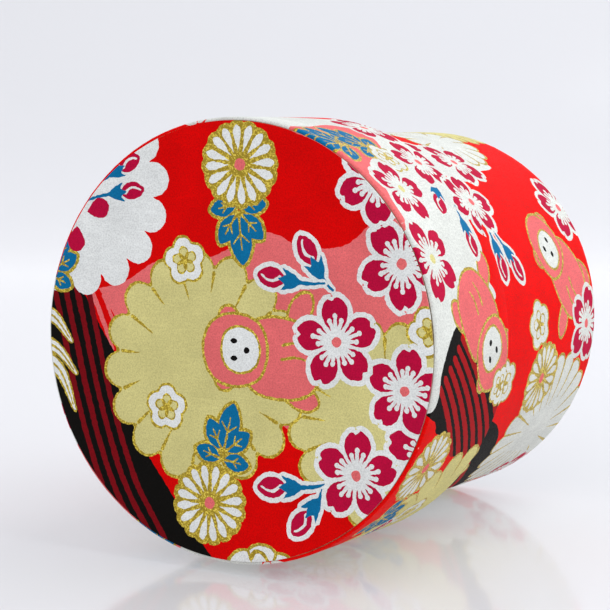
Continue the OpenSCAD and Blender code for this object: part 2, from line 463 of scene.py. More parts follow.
# a petal or leaf along the x axis: p moves its widest place outwards, q blunts its ends
def blade(start, end, width, p=1.0, q=0.8, count=12):
    t = (1 - np.cos(np.pi * np.arange(count + 1) / count)) / 2
    half = width * np.sin(np.pi * t**p) ** q
    x = start + (end - start) * t
    return np.concatenate((x - 1j * half, (x + 1j * half)[-2:0:-1]))


def stroke(points, startWidth, endWidth, step=0.5):
    p = np.asarray(points, complex)
    run = np.concatenate(([0], np.cumsum(np.abs(np.diff(p)))))
    count = max(2, int(run[-1] / step))
    at = np.linspace(0, run[-1], count + 1)
    line = np.interp(at, run, p.real) + 1j * np.interp(at, run, p.imag)
    along = np.gradient(line)
    side = 1j * along / np.abs(along) * np.linspace(startWidth, endWidth, count + 1) / 2
    tip = line[-1] + along[-1] / abs(along[-1]) * endWidth / 2
    tail = line[0] - along[0] / abs(along[0]) * startWidth / 2
    return np.concatenate((line - side, [tip], (line + side)[::-1], [tail]))


def curve(*pairs):
    # an open smooth line through the points
    p = xy(*pairs)
    p = np.concatenate(([2 * p[0] - p[1]], p, [2 * p[-1] - p[-2]]))
    pieces = [bend(a, b, c, d, 8) for a, b, c, d in zip(p, p[1:], p[2:], p[3:])]
    return np.concatenate(pieces + [[p[-2]]])


def placed(motif, x, y, turn=0.0):
    spin = np.exp(1j * math.radians(turn))
    return [(ink, loop * spin + complex(x, y)) for ink, loop in motif]


# shares of the flower's radius, and widths in millimetres
blossom = {"root": 0.17, "tip": 0.95, "width": 0.31, "notch": 0.12, "middle": 0.22, "heart": 0.115,
           "outline": 0.95, "thread": (0.95, 0.62), "dot": 0.52,
           "threads": ((0, 0.52), (17, 0.43), (-18, 0.44))}


def cherry(radius, turn=0.0, heart="coral"):
    whites, petals, threads = [], [], []
    for k in range(5):
        spin = np.exp(1j * math.radians(turn + 72 * k + draw.uniform(-2.5, 2.5)))
        petal = resample(blade(blossom["root"], blossom["tip"], blossom["width"], 1.2, 0.6, 18), 0.035)
        bite = np.clip(1 - np.abs(petal.imag - 0.04) / 0.1, 0, 1) * (petal.real > 0.6)
        petal = (petal - blossom["notch"] * bite) * radius * draw.uniform(0.97, 1.03)
        petals.append(("magenta", petal * spin))
        whites.append(("white", grown(petal, blossom["outline"]) * spin))
        for angle, reach in blossom["threads"]:
            tip = np.exp(1j * math.radians(angle)) * radius * reach * draw.uniform(0.93, 1.08)
            threads.append(("white", stroke([0.08 * radius, tip], *blossom["thread"]) * spin))
            threads.append(("white", (roundDot(blossom["dot"]) + tip) * spin))
    middle = [("white", roundDot(blossom["middle"] * radius)), (heart, roundDot(blossom["heart"] * radius))]
    return whites + petals + threads + middle


def daisy(radius, turn=0.0, count=16):
    shapes = [("gilt", lobed(radius, count, 0.085, math.radians(turn)))]
    petal = blade(0.28 * radius, 0.90 * radius, 0.1 * radius, 2.1, 0.62, 10)
    for k in range(count):
        spin = np.exp(1j * (math.radians(turn) + k * twoPi / count + draw.uniform(-0.02, 0.02)))
        shapes.append(("white", petal * spin))
    return shapes + [("coral", roundDot(0.14 * radius))]


# a big many-petalled flower in one ink, with or without a gilt line
def mum(radius, ink="olive", turn=0.0, line=True, count=16, dip=0.2, notch=4.6):
    start = math.radians(turn)
    if not line:
        return [(ink, lobed(radius, count, dip, start, 13, 0.45))]
    shapes = [("gilt", lobed(radius, count, dip, start, 13, 0.45)),
              (ink, lobed(radius - 0.6, count, dip * 1.08, start, 13, 0.45))]
    for k in range(count):
        a = start + (k + 0.5) * twoPi / count
        reach = radius * (1 - dip) - notch * draw.uniform(0.7, 1.1)
        drift = draw.uniform(-0.05, 0.05)
        shapes.append(("gilt", stroke([radius * (1 - dip * 0.9) * np.exp(1j * a),
                                       reach * np.exp(1j * (a + drift))], 0.75, 0.16)))
    return shapes


def plum(radius, turn=0.0, ground="olive"):
    a = math.radians(turn)
    shapes = [("gilt", lobed(radius + 0.3, 5, 0.24, a, 12, 0.75)),
              ("white", lobed(radius - 0.2, 5, 0.26, a, 12, 0.75)),
              ("gilt", lobed(radius * 0.62, 5, 0.4, a, 10, 0.8)),
              (ground, lobed(radius * 0.62 - 0.35, 5, 0.42, a, 10, 0.8))]
    for k in range(5):
        spin = np.exp(1j * (a + (k + 0.5) * twoPi / 5))
        shapes.append(("gilt", stroke([0, radius * 0.36 * spin], 0.9, 0.7)))
    return shapes


def leaf(length, turn=0.0):
    spin = np.exp(1j * math.radians(turn))
    lobes = [(0.1, 1.0, 0, 0.23), (0.08, 0.72, 40, 0.19), (0.08, 0.72, -40, 0.19),
             (0.04, 0.6, 86, 0.17), (0.04, 0.6, -86, 0.17)]
    gilt, blue, veins = [], [], []
    for start, end, angle, width in lobes:
        root = 0.22 * length if abs(angle) < 50 else 0.1 * length
        way = np.exp(1j * math.radians(angle)) * spin
        shape = blade(start * length, end * length, width * length, 1.0, 0.75)
        gilt.append(("gilt", root * spin + grown(shape, 0.65) * way))
        blue.append(("blue", root * spin + shape * way))
        rib = [root * spin, root * spin + 0.72 * end * length * way]
        veins.append(("gilt", stroke(rib, 0.55, 0.25)))
        for side in (-1, 1):
            fork = root * spin + 0.42 * end * length * way
            tip = fork + 0.24 * end * length * way * np.exp(0.8j * side)
            veins.append(("gilt", stroke([fork, tip], 0.4, 0.22)))
    return gilt + blue + veins


# a bud pointing along x, its cup at the origin and its stem behind it
def bud(size=1.0, stem=5.0, halo=True):
    cup = xy((-2.0, -0.3), (-0.7, -1.2), (1.7, -1.9), (0.8, -0.8), (2.4, 0), (0.8, 0.8), (1.7, 1.9),
             (-0.7, 1.2), (-2.0, 0.3))
    flower = blade(0.9, 6.3, 1.75, 0.95, 0.6, 12)
    stem = curve((-stem, -0.7), (-stem * 0.6, -0.15), (-1.4, 0))
    shapes = []
    if halo:
        shapes += [("white", grown(flower, 0.8)), ("white", grown(smooth(cup, 0.4), 0.65)),
                   ("white", stroke(stem, 1.3, 2.2))]
    shapes += [("magenta", flower),
               ("white", stroke(curve((1.9, -0.3), (3.1, 0.55), (4.5, 0.45), (5.5, -0.2)), 0.6, 0.35)),
               ("blue", cup), ("blue", stroke(stem, 0.35, 0.8))]
    return [(ink, shape * size * 1.16) for ink, shape in shapes]


# a plain round-eared animal of no particular kind, lying curled; its head at the origin
def curledAnimal():
    body = smooth(xy((3, -6.2), (9, -8.2), (15, -7), (17.5, -2), (16, 3.2), (11, 5.6), (5, 5.4), (1, 2)))
    paw = blade(0, 7.5, 1.9, 1.3, 0.55)
    shapes = []
    for place, spin in (((15.0, 4.0), 1.0), ((13.5, -7.0), -0.25)):
        arm = paw * np.exp(1j * spin) + complex(*place) - 4
        shapes += [("gilt", grown(arm, 0.55)), ("coral", arm)]
    shapes += [("gilt", grown(body, 0.55)), ("coral", body)]
    for angle in (1.2, -1.35):
        ear = 5.9 * np.exp(1j * (math.pi + angle))
        shapes += [("gilt", roundDot(2.35) + ear), ("coral", roundDot(1.8) + ear),
                   ("white", roundDot(0.9) + ear)]
    skull = smooth(xy((-6.4, 0), (-4.6, 4.6), (0, 6.2), (4.8, 4.6), (6.4, 0), (4.8, -4.8), (0, -6.4),
                      (-4.6, -4.8)))
    muzzle = smooth(xy((-2.6, 0), (-1.6, 3.0), (1.2, 3.9), (4.0, 2.6), (4.9, 0), (4.0, -2.8), (1.2, -4.0),
                       (-1.6, -3.0)))
    shapes += [("gilt", grown(skull, 0.55)), ("coral", skull), ("gilt", grown(muzzle, 0.45)),
               ("white", muzzle)]
    shapes += [("black", blade(-0.75, 0.75, 0.5, 1, 0.6) + complex(-0.2, 1.5)),
               ("black", blade(-0.75, 0.75, 0.5, 1, 0.6) + complex(-0.2, -1.6)),
               ("black", roundDot(0.62, 2.4, -0.1))]
    for place in ((9.5, -1.4), (9.8, 1.2)):
        shapes.append(("gilt", stroke(curve((0, 0), (2.6, 0.5), (4.8, 0.1)) + complex(*place), 0.6, 0.3)))
    return shapes


# stripes that follow one curve, side by side
def stripes(spine, count, pitch, width):
    line = curve(*spine)
    across = 1j * np.gradient(line)
    across = across / np.abs(across)
    return [("darkRed", stroke(line + across * pitch * k, width, width, 1.2)) for k in range(count)]


def flatten(*motifs):
    return [shape for motif in motifs for shape in motif]


def discPrint():
    red = [("red", roundDot(44.0))]
    coralBand = xy((-31, 7), (-23, 10), (-16, 14), (-10, 14.6), (-5, 15), (0, 17), (6, 19.6), (9.5, 19.2),
                   (13, 17.6), (18, 17.2), (22, 17.7), (25, 19.5), (29, 23), (34, 25), (44, 27), (44, -12),
                   (30, -16), (16, -14.5), (12, -15), (-4, -8), (-24, -4), (-26.5, -2))
    coralWedge = xy((9, 41), (11, 38.2), (14, 36.7), (18, 35.8), (22, 33.2), (26, 31.5), (34, 26),
                    (40, 30), (30, 42))
    sliver = xy((-32, 8), (-28.5, 8.5), (-24, 2), (-22, -4), (-25, -6), (-32, 0))
    pink = [stroke(curve((-30.4, 8.5), (-28.3, 4.0), (-25.6, -2.5)), 1.1, 0.7),
            stroke(curve((-27.6, 7.5), (-25.8, 3.5), (-23.5, -1.5)), 0.8, 0.5)]
    blackField = xy((-46, 12), (-36, 12), (-31.5, 7), (-28.6, 2), (-24.6, -4), (-22.6, -10), (-21.6, -15.5),
                    (-18.5, -21), (-14, -27), (-9.5, -33), (-4.5, -39.0), (-3, -46), (-46, -46))
    lines = stripes(((-40.5, 16), (-38.3, 8), (-36.4, 0), (-34, -10), (-31, -20), (-27, -30),
                     (-20.5, -40.5)), 4, 2.4, 1.15)
    leafBlades = []
    for path, width in ((((-45, 3), (-39, 3.2), (-34.6, -1.5)), 3.6),
                        (((-45, -2), (-38.5, -2.6), (-33.6, -7.4)), 3.2),
                        (((-43, -4), (-37.4, -7.0), (-34.0, -14.2)), 3.4)):
        rib = curve(*path)
        leafBlades += [("gilt", stroke(rib, width + 0.9, 1.0)), ("white", stroke(rib, width, 0.35)),
                       ("gilt", stroke(rib[:16], 0.5, 0.3))]
    bottom = placed(mum(9.5, "white", 10, True, 9, 0.12, 2.5), 6.0, -45.0)
    swirl = [("gilt", stroke(curve((3.6, -38.6), (4.6, -37.2), (6.4, -37.6), (8.2, -40.5)), 0.9, 0.5))]
    return flatten(
        red, [("coral", smooth(coralWedge))], [("coral", smooth(coralBand))], [("red", sliver)],
        [("coral", shape) for shape in pink], [("black", blackField)], lines, leafBlades,
        placed(mum(19.8, "white", 6, False, 16, 0.2), -33, 27), placed(leaf(9, 65), -40, 10),
        placed(mum(18.6, "olive", 9), 29.5, -13), placed(mum(21.4, "olive", 3.5), -6.2, -5),
        placed(curledAnimal(), 0.4, -1.2), placed(leaf(9.6, -84), 1.0, 25.4),
        placed(daisy(7.9, 4), 1.5, 31.6),
        placed(leaf(9.4, 76), -2.6, -22.0), placed(daisy(7.7, 9), -5, -29.3),
        placed(plum(4.3, 100), -10, 14.3), placed(plum(4.2, 88), -14, -12.5),
        placed(plum(4.3, 40), 38.8, 3.6),
        placed(bud(0.92, 4.5), 17.0, 13.6, 122), placed(bud(0.92, 6.5), 11.6, 11.4, 172),
        placed(bud(0.95, 7.5), 11.8, -25.1, 184), placed(bud(0.92, 3.5), 16.3, -28.3, 232),
        placed(bud(0.8, 8.0, False), -24.5, 30.2, 28), placed(bud(0.8, 8.0, False), -24.3, 26.2, 8),
        [("magenta", shape * np.exp(1j * a) + complex(x, y)) for x, y, a, shape in (
            (-31.5, 22.5, 0.25, blade(0.6, 5.6, 1.9, 1.4, 0.6)),
            (-33.2, 20.6, -1.62, blade(0.6, 5.4, 1.9, 1.4, 0.6)))],
        placed(cherry(8.3, 20), 38.5, -17.5), placed(cherry(8.1, 82), 34, -6.7),
        placed(cherry(8.5, 96), 20.8, 1),
        placed(cherry(8.4, 88), 24.7, -22), placed(cherry(8.6, 130), 33.4, 15),
        placed(cherry(8.2, 128), 28.6, 29),
        bottom, swirl)


# On the long sheet x runs round the caddy, clockwise as seen from above and measured at the lid,
# and y is the height.

repeat = math.pi * lidR
wrapGround = {
    "band": ("black", ((50, 86), (84, 86), (88, 66), (97, 50), (118, 26), (104, 18), (80, 34), (66, 48),
                       (54, 64))),
    "rightRed": ("red", ((73, 96), (74.6, 80), (77.5, 76.5), (78.8, 72), (81, 68), (84, 64.5), (85, 58),
                         (86.5, 53), (91, 47), (101, 38), (112, 27), (128, 34), (128, 96))),
    "leftRed": ("red", ((55, 72), (58.3, 72), (59.6, 67.5), (63, 63.5), (69.5, 60.5), (70, 54), (75, 51.5),
                        (80, 46), (82.5, 40), (86, 35), (94, 28.5), (106, 15), (80, 0), (40, 10))),
    "white": ("white", ((-5, 96), (71, 96), (73, 81), (66, 79.4), (60.3, 75.6), (58, 71), (57.6, 62),
                        (55, 55.5), (52, 57), (48.6, 58.8), (46, 55.6), (38, 55), (33, 50), (27, 44),
                        (29, 36), (26.5, 30), (25, 18), (21, 22), (15, 34), (9, 46), (5, 58), (1, 70))),
    "cloud": ("coral", ((13, 96), (39, 96), (41, 82), (35, 80), (27, 77), (24, 71), (21.5, 64), (15, 60),
                        (11, 66), (12, 76))),
}


paintedSideLightInks = {"red": "sideRed", "white": "sideWhite", "darkRed": "bandRed"}  # painted light: the side's red, white and stripe inks are brighter or duller copies of the disc's, for how light falls on the side


def sidePrint(squeeze, low, high):
    # squeeze moves the motifs together on the smaller round of the body
    shapes = [("red", xy((-150, low - 9), (250, low - 9), (250, high + 9), (-150, high + 9)))]
    ground = []
    ink, points = wrapGround["band"]
    ground.append((ink, xy(*points)))
    ground += stripes(((61, 71.6), (70, 62.4), (80, 52.4), (92, 41), (108, 25.6)), 6, 2.25, 1.35)
    ground += stripes(((59, 69.4), (68, 60.2), (78, 50.2)), 1, 2.25, 1.35)
    for name in ("rightRed", "leftRed", "white", "cloud"):
        ink, points = wrapGround[name]
        ground.append((ink, smooth(xy(*points), 0.8)))
    ground += [("red", smooth(xy((58.2, 72), (61, 71), (62.5, 66), (60.5, 62.5), (57.8, 66)))),
               ("coral", smooth(xy((58.0, 67.5), (60.4, 67.4), (60.9, 62.6), (57.8, 62))))]
    shapes += [(ink, loop.real * squeeze + 1j * loop.imag) for ink, loop in ground]
    motifs = [
        (mum(19.0, "olive", 4), 102, 55, 0), (mum(17.5, "white", 12, True, 20, 0.14, 9.0), 88, 15, 0),
        (mum(15.5, "white", 0, False, 14), 122, 20, 0), (mum(11.0, "olive", 30), 3, 4, 0),
        (mum(11.5, "white", 10, True, 14, 0.16, 5.0), 12, 21, 0),
        (leaf(10, 130), 21, 75, 0), (leaf(9, 150), 22, 68, 0), (leaf(9, -70), 97, 76, 0),
        (leaf(9, 40), 112, 40, 0),
        (curledAnimal(), 65, 58, 150), (curledAnimal(), 46, 19, -35),
        (daisy(7.6, 3), 85.2, 73.3, 0), (daisy(7.6, 8), -7, 62, 0), (daisy(7.4, 8), 74, 25, 0),
        (plum(4.2, 30, "white"), 24.4, 66.4, 0), (plum(3.8, 60, "white"), 71.4, 53.2, 0),
        (plum(4.8, 90, "white"), 73.0, 44, 0), (plum(4.8, 20, "white"), 62.2, 29.6, 0),
        (plum(4.4, 50), 100, 60, 0),
        (bud(0.85, 5.5), 33.5, 60.6, 38), (bud(0.85, 6.0), 41.3, 58.3, 8), (bud(0.9, 6.0), 45.3, 42.6, 4),
        (bud(0.9, 6.0), 46.6, 38.2, -30), (bud(0.9, 6.0), 112, 60, 110), (bud(0.9, 5.0), 107, 63, 160),
        (cherry(7.6, 54, "olive"), 32.5, 73.3, 0), (cherry(8.2, 18, "olive"), 46.7, 76.9, 0),
        (cherry(7.4, 40), 26, 56.6, 0), (cherry(7.4, 200), 34.4, 41.8, 0), (cherry(7.0, 10), 36.5, 50.6, 0),
        (cherry(8.0, 30), 37.6, 3.0, 0), (cherry(8.2, 70), 116, 74, 0), (cherry(8.0, 20), 119, 58.5, 0),
        (cherry(8.2, 50), 64, 5, 0), (cherry(7.6, 0), 14, 43, 0), (cherry(7.8, 44), 105, 5, 0),
        (cherry(7.4, 25), 22.5, 31.5, 0), (cherry(7.6, 60), 12.5, 55, 0),
    ]
    for motif, x, y, turn in motifs:
        shapes += placed(motif, x * squeeze, y, turn)
    full = shapes[:1]
    for k in (-1, 0, 1):
        full += [(ink, loop + k * repeat * squeeze) for ink, loop in shapes[1:]]
    return [(paintedSideLightInks.get(ink, ink), loop) for ink, loop in full]


def within(points, loop):
    # which points lie inside a closed loop
    answer = np.zeros(len(points), bool)
    a, b = loop, np.roll(loop, -1)
    slope = (b.real - a.real) / np.where(b.imag == a.imag, 1e-12, b.imag - a.imag)
    for first in range(0, len(points), 4000):
        p = points[first:first + 4000, None]
        spans = (a.imag > p.imag) != (b.imag > p.imag)
        left = p.real < slope * (p.imag - a.imag) + a.real
        answer[first:first + 4000] = (spans & left).sum(1) % 2 == 1
    return answer


# millimetres, and square millimetres for the areas that count as a speck or as small
cutting = {"step": 0.44, "rough": 0.08, "speck": 0.15, "small": 1.2, "smallStep": 0.7, "smallRough": 0.4,
           "beyond": 2.0}


def cutSheet(domain, shapes, seeds, folds):
    # triangles of the printed side, one ink each; anything outside the domain falls away
    lows = (domain.real.min() - cutting["beyond"], domain.imag.min() - cutting["beyond"])
    highs = (domain.real.max() + cutting["beyond"], domain.imag.max() + cutting["beyond"])
    shaky = np.random.default_rng(7)
    points, loops, edges = [], [("paper", domain)], []
    for ink, loop in shapes:
        if loop.real.max() < lows[0] or loop.real.min() > highs[0]:
            continue
        if loop.imag.max() < lows[1] or loop.imag.min() > highs[1]:
            continue
        if abs(area(loop)) > cutting["speck"]:
            small = abs(area(loop)) < cutting["small"]
            loop = resample(loop, cutting["step"] * (cutting["smallStep"] if small else 1.0))
            shake = cutting["rough"] * (cutting["smallRough"] if small else 1.0)
            loop = loop + outward(loop) * shaky.uniform(-shake, shake, len(loop))
        loops.append((ink, loop))
    for _, loop in loops:
        first, count = len(points), len(loop)
        points += list(loop)
        edges += [(first + i, first + (i + 1) % count) for i in range(count)]
    for line in folds:
        first = len(points)
        points += list(line)
        edges += [(first + i, first + i + 1) for i in range(len(line) - 1)]
    flat = [Vector((p.real, p.imag)) for p in points + list(seeds)]
    verts, _, tris = delaunay_2d_cdt(flat, edges, [], 0, 1e-5, False)[:3]
    place = np.array([complex(v.x, v.y) for v in verts])
    tris = np.array([t for t in tris if len(t) == 3])
    middles = place[tris].mean(1)
    kept = within(middles, domain)
    tris, middles = tris[kept], middles[kept]
    inkOf = np.full(len(tris), "paper", dtype="U10")
    for ink, loop in loops[1:]:
        near = np.nonzero((middles.real > loop.real.min()) & (middles.real < loop.real.max())
                          & (middles.imag > loop.imag.min()) & (middles.imag < loop.imag.max()))[0]
        if len(near):
            inkOf[near[within(middles[near], loop)]] = ink
    # corners of shapes that hung over the sheet's edge are left behind
    used, packed = np.unique(tris, return_inverse=True)
    return place[used], packed.reshape(tris.shape), [str(ink) for ink in inkOf]


def rimOf(tris):
    # directed outer edges of a set of triangles
    sides = {}
    for face, tri in enumerate(tris):
        for a, b in ((tri[0], tri[1]), (tri[1], tri[2]), (tri[2], tri[0])):
            sides[(int(a), int(b))] = face
    return [(a, b, face) for (a, b), face in sides.items() if (b, a) not in sides]


def buildSheet(name, domain, shapes, seeds, folds, fold, flip, material, edgeMark, mapRows,
               backInk="paper"):
    # fold(points, depth) puts flat points in space, depth under the printed side
    place, tris, inkOf = cutSheet(domain, shapes, seeds, folds)
    rim = rimOf(tris)
    rimPoints = sorted({a for a, _, _ in rim})
    under = {p: i for i, p in enumerate(rimPoints)}
    flatRim = [Vector((place[p].real, place[p].imag)) for p in rimPoints]
    rimEdges = [(under[a], under[b]) for a, b, _ in rim]
    backSeeds = [Vector((p.real, p.imag)) for p in seeds]
    foldLines, foldEdges = [], []
    for line in folds:
        first = len(flatRim) + len(foldLines)
        foldLines += [Vector((p.real, p.imag)) for p in line]
        foldEdges += [(first + i, first + i + 1) for i in range(len(line) - 1)]
    loop = [rimEdges[0][0]]
    following = dict(rimEdges)
    while following[loop[-1]] != loop[0]:
        loop.append(following[loop[-1]])
    backVerts, _, backTris, origins, _, owners = delaunay_2d_cdt(
        flatRim + foldLines + backSeeds, foldEdges, [loop], 0, 1e-5)
    backTris = [t for t, owner in zip(backTris, owners) if owner]
    backPlace = np.array([complex(v.x, v.y) for v in backVerts])
    newIndex = {}
    for i, olds in enumerate(origins):
        for old in olds:
            newIndex[old] = i
    count = len(place)
    verts = np.concatenate((fold(place, 0.0), fold(backPlace, 1.0))) * mm
    faces = [tuple(int(i) for i in (t[::-1] if flip else t)) for t in tris]
    backInks = [backInk] * len(backTris)
    faces += [tuple(count + i for i in (t if flip else t[::-1])) for t in backTris]
    rimInks = []
    for a, b, face in rim:
        quad = (b, a, count + newIndex[under[a]], count + newIndex[under[b]])
        faces.append(quad[::-1] if flip else quad)
        rimInks.append(inkOf[face])
    mesh = bpy.data.meshes.new(name)
    mesh.from_pydata([tuple(v) for v in verts], [], faces)
    palette = {ink: np.array(colour(code)) for ink, code in inks.items()}
    paper = palette["paper"]
    faceColour = [palette[ink] for ink in inkOf + backInks]
    faceColour += [palette[ink] * 0.8 + paper * 0.2 for ink in rimInks]
    sizes = [len(f) for f in faces]
    cornerColour = np.repeat(np.array(faceColour), sizes, axis=0)
    mesh.attributes.new("ink", "FLOAT_COLOR", "CORNER").data.foreach_set("color", cornerColour.ravel())
    gilded = [float(ink == "gilt") for ink in inkOf + backInks] + [0.0] * len(rimInks)
    mesh.attributes.new("gilt", "FLOAT", "CORNER").data.foreach_set("value", np.repeat(gilded, sizes))
    marks = np.concatenate((edgeMark(place), edgeMark(backPlace) * 0))
    mesh.attributes.new("edge", "FLOAT", "POINT").data.foreach_set("value", marks)
    layMap(mesh, place, backPlace, faces, len(inkOf), len(backInks), mapRows)
    mesh.materials.append(material)
    mesh.shade_smooth()
    mesh.set_sharp_from_angle(angle=math.radians(38))
    mesh.update()
    piece = bpy.data.objects.new(name, mesh)
    scene.collection.objects.link(piece)
    print(name, "cut:", len(faces), "faces")
    return piece


def layMap(mesh, place, backPlace, faces, printed, plain, rows):
    # the printed side in rows on most of the map, the back and the cut edges on a strip below
    everyPoint = np.concatenate((place, backPlace))
    low = complex(everyPoint.real.min(), everyPoint.imag.min())
    size = complex(np.ptp(everyPoint.real), np.ptp(everyPoint.imag))
    corners = np.array([i for f in faces for i in f])
    sizes = np.array([len(f) for f in faces])
    starts = np.concatenate(([0], np.cumsum(sizes)[:-1]))
    flat = everyPoint[corners] - low
    middles = np.add.reduceat(flat, starts) / sizes
    owner = np.repeat(np.arange(len(faces)), sizes)
    rowWidth = size.real / rows
    row = np.clip((middles.real / rowWidth).astype(int), 0, rows - 1)[owner]
    u = (flat.real - row * rowWidth) / rowWidth * 0.96 + 0.02
    v = 0.14 + 0.86 * (row + 0.03 + 0.94 * flat.imag / size.imag) / rows
    behind = owner >= printed
    u[behind] = 0.02 + 0.96 * flat.real[behind] / size.real
    v[behind] = 0.005 + 0.085 * flat.imag[behind] / size.imag
    sideFace = owner >= printed + plain
    v[sideFace] += 0.04 * np.tile((0, 0, 1, 1), sideFace.sum() // 4)
    uv = mesh.uv_layers.new(name="OFBake")
    uv.data.foreach_set("uv", np.stack((u, v), 1).ravel())


def filletPath(points, radii, arcs=5):
    # a polyline with round corners: its points, their outward normals and the run along it
    line, normals = [], []
    for i, p in enumerate(points):
        if i in (0, len(points) - 1):
            d = (points[1] - points[0]) if i == 0 else (points[-1] - points[-2])
            line.append(p)
            normals.append(1j * d / abs(d))
            continue
        before, after = p - points[i - 1], points[i + 1] - p
        before, after = before / abs(before), after / abs(after)
        centre = p + radii[i] * (after - before)
        for k in range(arcs + 1):
            a = k / arcs * math.pi / 2
            out = 1j * before * math.cos(a) + before * math.sin(a)
            line.append(centre + radii[i] * out)
            normals.append(out)
    line, normals = np.array(line), np.array(normals)
    run = np.concatenate(([0], np.cumsum(np.abs(np.diff(line)))))
    return line, normals, run


paperT = 0.2
wrapShape = {
    "cover": 0.45,     # radius of the covered outer corners
    "inner": 0.3,      # radius of the lid's inner corner
    "margin": 6.0,     # how far the sheet is turned over or in
    "lap": 6.5,        # how far the sheet's end lies over its start
    "rise": 2.5,       # width over which the lap climbs onto the start
    "ease": 2.0,       # height over which the lap sinks back at the corners
    "trim": 0.5,       # how much the covered end is cut back
    "clear": 0.01,
    "seam": 225.0,     # where the lap ends, in degrees round the caddy
    "grid": 2.4,
    "edgeStep": 1.4,
}


def wrapSheet(name, corners, radii, squeeze, rows, cylinderTop, cylinderFoot):
    line, normals, run = filletPath(corners, radii)
    level = next(i for i in range(len(line)) if abs(line[i].imag - cylinderTop) < 1e-6
                 and abs(line[i].real - max(line.real)) < 1e-6)
    heights = cylinderTop - (run - run[level])     # on the straight side this is the real height
    order = np.argsort(heights)
    radius = max(line.real)
    around = twoPi * radius
    lap, pitch, ease = wrapShape["lap"], wrapShape["grid"], wrapShape["ease"]
    start = math.radians(wrapShape["seam"]) * radius - around
    end = start + around + lap
    trimTop, trimFoot = cylinderTop - wrapShape["trim"], cylinderFoot + wrapShape["trim"]
    top, foot = heights.max(), heights.min()
    outline = xy((start, trimFoot), (start + lap, trimFoot), (start + lap, foot), (end, foot),
                 (end, top), (start + lap, top), (start + lap, trimTop), (start, trimTop))
    domain = []
    for a, b in zip(outline, np.roll(outline, -1)):
        count = max(1, int(abs(b - a) / wrapShape["edgeStep"]))
        domain += [a + (b - a) * k / count for k in range(count)]
    folds = []
    for h in sorted(set(np.round(heights, 5)))[1:-1]:
        first = start if trimFoot < h < trimTop else start + lap
        count = int((end - first) / pitch)
        steps = (np.arange(count + 1) + 0.01) / (count + 0.02)
        folds.append([complex(first + (end - first) * t, h) for t in steps])
    seeds = [complex(x + (pitch / 2 if j % 2 else 0), y)
             for j, y in enumerate(np.arange(trimFoot + pitch, trimTop - 1, pitch))
             for x in np.arange(start + 1, end - 1.5, pitch)]

    def along(flat, values):
        return np.interp(flat.imag, heights[order], values[order])

    def fold(flat, depth):
        over = np.clip((flat.real - (end - lap - wrapShape["rise"])) / wrapShape["rise"], 0, 1)
        over = over * over * (3 - 2 * over)
        side = (np.clip((cylinderTop - flat.imag) / ease, 0, 1)
                * np.clip((flat.imag - cylinderFoot) / ease, 0, 1))
        lift = over * side * (paperT + wrapShape["clear"]) - depth * paperT
        angle = flat.real / radius
        r = along(flat, line.real) + along(flat, normals.real) * lift
        z = along(flat, line.imag) + along(flat, normals.imag) * lift
        return np.stack((r * np.cos(angle), -r * np.sin(angle), z), 1)

    def edgeMark(flat):
        return np.clip(4 * np.abs(along(flat, normals.imag) * along(flat, normals.real)), 0, 1)

    shapes = sidePrint(squeeze, foot, top)
    return buildSheet(name, np.array(domain), shapes, seeds, folds, fold, True, washiWrap, edgeMark, rows)


discShape = {"edgeDrop": 0.04, "edgeRound": 0.25, "points": 200, "waver": 0.0016, "grid": 4.0}


def discSheet():
    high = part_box("lid_top_paper")[1]
    radius, top = high.x / mm, high.z / mm
    marginR = radiusOf("lid_tube") - wrapShape["margin"]
    # the disc dips off the turned margin onto the board
    radii = np.array((0.0, marginR - 0.8, marginR - 0.2, radius - discShape["edgeRound"], radius))
    heights = np.array((top - paperT, top - paperT, top, top, top - discShape["edgeDrop"]))
    count = discShape["points"]
    angles = np.arange(count) * twoPi / count
    turn = np.exp(1j * angles)
    waver = 1 - discShape["waver"] * (1 + np.sin(angles * 7) * np.cos(angles * 3))
    folds = [list(r * np.append(turn, turn[0])) for r in radii[1:4]]
    grid = np.arange(-33, 33, discShape["grid"])
    seeds = [complex(x, y) for x in grid for y in grid if x * x + y * y < 1000]

    def fold(flat, depth):
        z = np.interp(np.abs(flat), radii, heights) - depth * paperT
        return np.stack((flat.imag, -flat.real, z), 1)

    def edgeMark(flat):
        return np.clip((np.abs(flat) - radius + 0.35) / 0.3, 0, 1)

    return buildSheet("lidDiscPaper", radius * turn * waver, discPrint(), seeds, folds, fold, False,
                      washiDisc, edgeMark, 1)


lidDisc = discSheet()
margin, cover = wrapShape["margin"], wrapShape["cover"]
lidBoreR = radiusOf("lid_top_lining")
lidPaperTop = lidTop - paperT
lidCorners = xy((radiusOf("lid_tube") - margin, lidPaperTop), (lidR, lidPaperTop), (lidR, lidFoot),
                (lidBoreR, lidFoot), (lidBoreR, lidFoot + margin))
lidWrap = wrapSheet("lidWrapPaper", lidCorners, (0, cover, cover, wrapShape["inner"], 0), 1.0, 3,
                    lidPaperTop - cover, lidFoot + cover)
linerR = radiusOf("body_base_board")
bodyTop, bodyFoot = topOf("body_wrap_paper"), footOf("body_wrap_paper")
bodyCorners = xy((linerR, bodyTop), (bodyR, bodyTop), (bodyR, bodyFoot),
                 (radiusOf("body_tube") - margin, bodyFoot))
bodyWrap = wrapSheet("bodyWrapPaper", bodyCorners, (0, cover, cover, 0), bodyR / lidR, 2,
                     bodyTop - cover, bodyFoot + cover)


